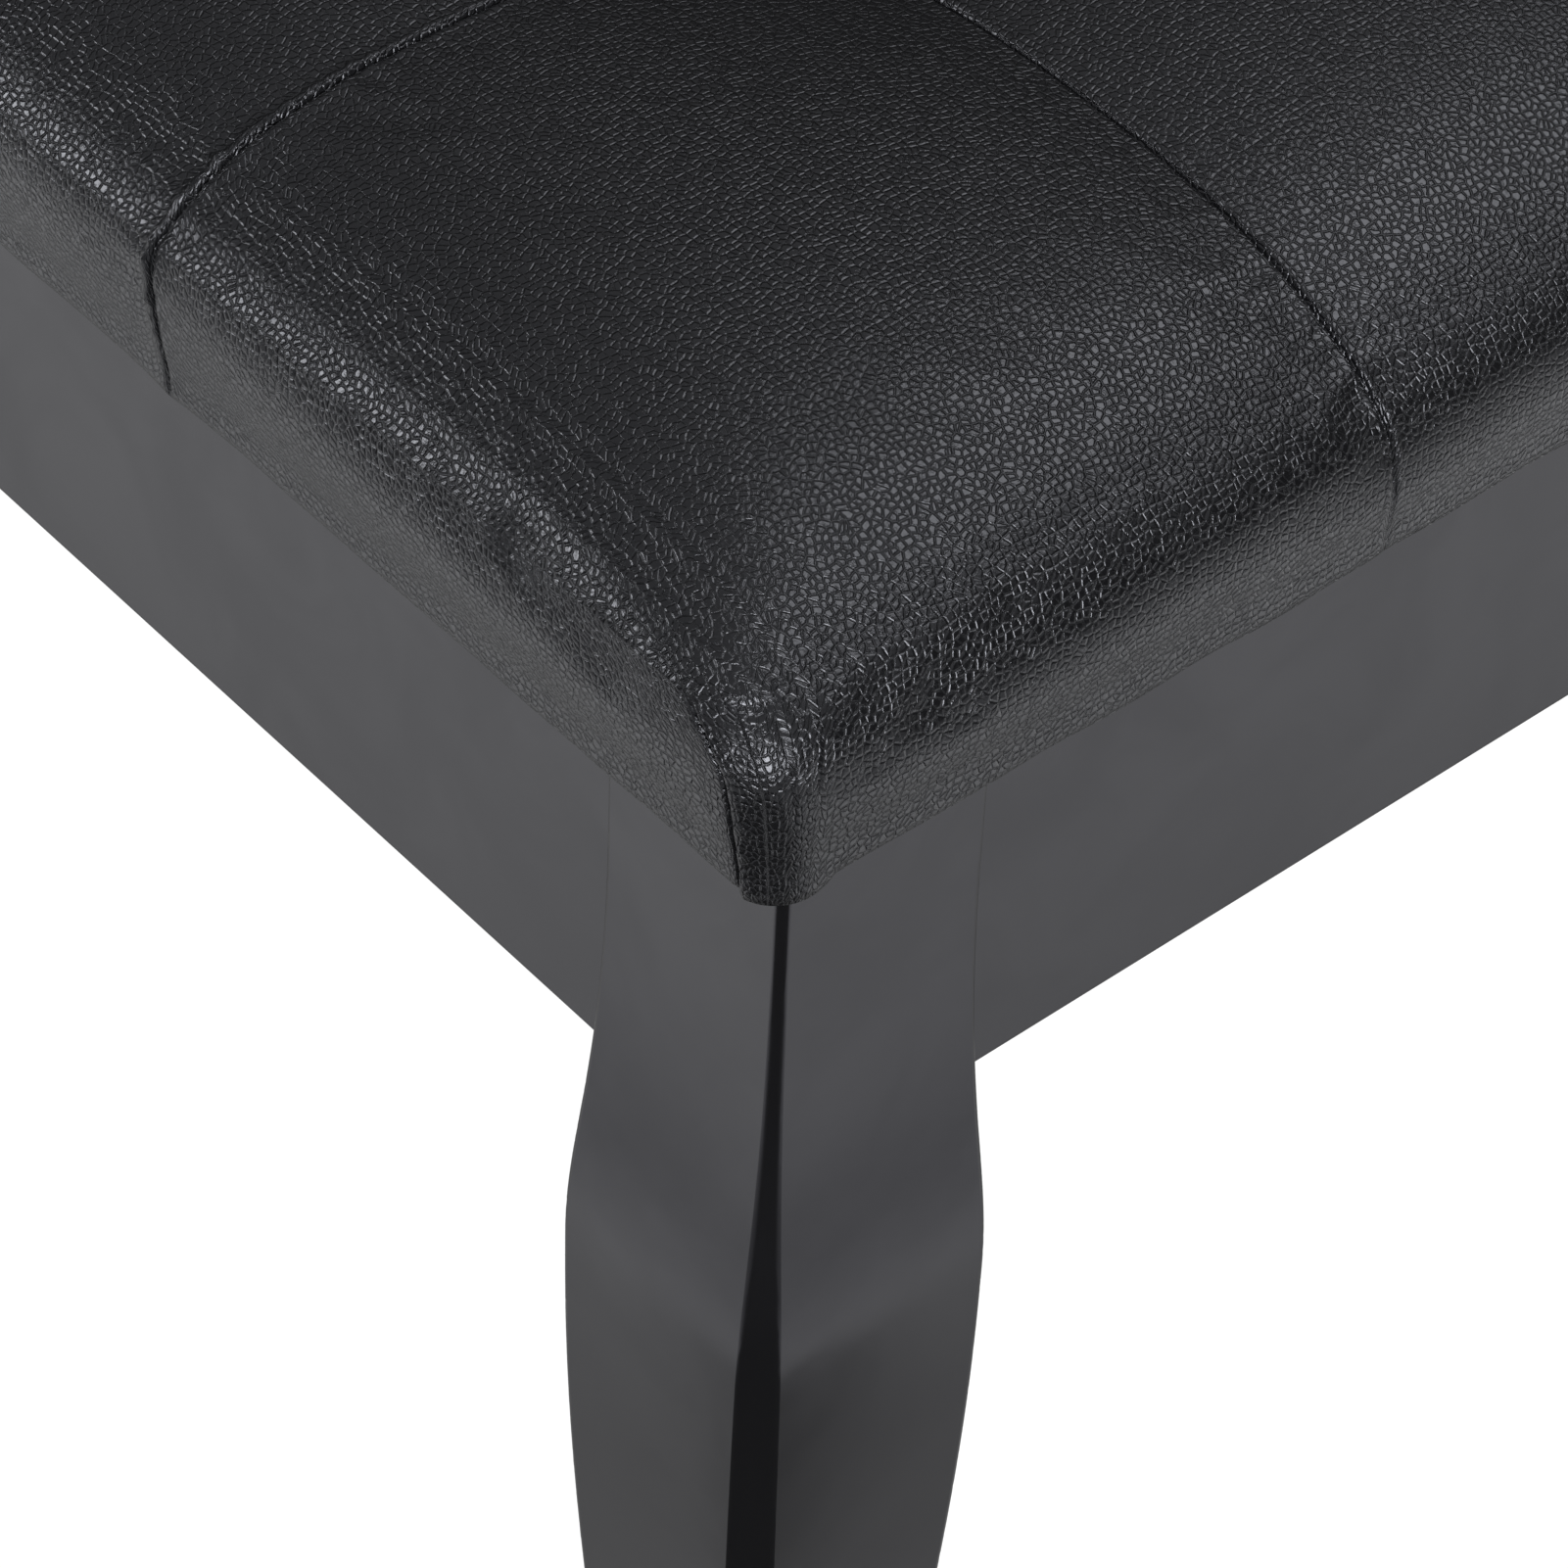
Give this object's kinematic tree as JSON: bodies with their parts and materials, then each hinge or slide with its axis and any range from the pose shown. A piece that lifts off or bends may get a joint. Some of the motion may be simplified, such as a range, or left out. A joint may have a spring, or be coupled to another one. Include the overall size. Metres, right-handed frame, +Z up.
{
  "type": "piano bench",
  "caption": "Bench for a keyboard player: padded lid hinged over a music store, on sawn curved legs.",
  "frame": {"origin": "on the floor, midway between the legs", "axes": "+X along the bench, +Y to the hinge side at the back, +Z up"},
  "size_m": [0.748, 0.3856, 0.495],
  "materials": {
    "black_lacquered_wood": "black satin-gloss lacquer",
    "bare_pine": "planed, unfinished",
    "plywood": "unfinished plywood",
    "felt_lined_hardboard": "black-stained hardboard",
    "foam": "upholstery foam",
    "black_leatherette": "pebbled leatherette, semi-matt",
    "black_lining_cloth": "non-woven lining cloth",
    "black_nylon": "moulded nylon",
    "bumper_rubber": "soft rubber",
    "hinge_steel": "brass-plated steel",
    "stay_steel": "zinc-plated steel",
    "zinc_steel": "zinc-plated steel",
    "staple_wire": "galvanised wire"
  },
  "bodies": {
    "frame": {"leg_front_left": "black_lacquered_wood", "leg_front_right": "black_lacquered_wood", "leg_back_left": "black_lacquered_wood", "leg_back_right": "black_lacquered_wood", "apron_front": "black_lacquered_wood", "apron_back": "black_lacquered_wood", "apron_left": "black_lacquered_wood", "apron_right": "black_lacquered_wood", "storage_bottom": "felt_lined_hardboard", "corner_block_front_left": "bare_pine", "corner_block_front_right": "bare_pine", "corner_block_back_left": "bare_pine", "corner_block_back_right": "bare_pine", "leg_bolts": "zinc_steel", "leg_washers": "zinc_steel", "leg_nuts": "zinc_steel", "corner_block_screws": "zinc_steel", "foot_glides": "black_nylon", "lid_bumpers": "bumper_rubber", "hinge_left_frame_leaf": "hinge_steel", "hinge_right_frame_leaf": "hinge_steel", "hinge_left_pin": "hinge_steel", "hinge_right_pin": "hinge_steel", "hinge_frame_screws": "hinge_steel", "stay_box_bracket": "stay_steel", "stay_box_screws": "stay_steel"},
    "lid": {"lid_board": "plywood", "seat_foam": "foam", "seat_cover": "black_leatherette", "cover_staples": "staple_wire", "lid_lining": "black_lining_cloth", "hinge_left_lid_leaf": "hinge_steel", "hinge_right_lid_leaf": "hinge_steel", "hinge_lid_screws": "hinge_steel", "stay_lid_bracket": "stay_steel", "stay_lid_screws": "stay_steel"},
    "stay_lower_arm": {"stay_lower_arm": "stay_steel", "stay_elbow_rivet": "stay_steel"},
    "stay_upper_arm": {"stay_upper_arm": "stay_steel"}
  },
  "joints": [
    {"name": "lid_hinge", "type": "hinge", "parent": "frame", "child": "lid", "pos_m": [0, 0.187, 0.4434], "axis": [-1, 0, 0], "range_deg": [0, 80]},
    {"name": "stay_box_pivot", "type": "hinge", "parent": "frame", "child": "stay_lower_arm", "pos_m": [0.3438, 0.06153, 0.4214], "axis": [-1, 0, 0], "range_deg": [0, 80]},
    {"name": "stay_lid_pivot", "type": "hinge", "parent": "lid", "child": "stay_upper_arm", "pos_m": [0.3414, 0.05994, 0.4344], "axis": [-1, 0, 0], "range_deg": [-80, 0]}
  ],
  "couplings": [
    {"joint": "stay_box_pivot", "follows": "lid_hinge", "ratio": 1},
    {"joint": "stay_lid_pivot", "follows": "lid_hinge", "ratio": -1}
  ]
}
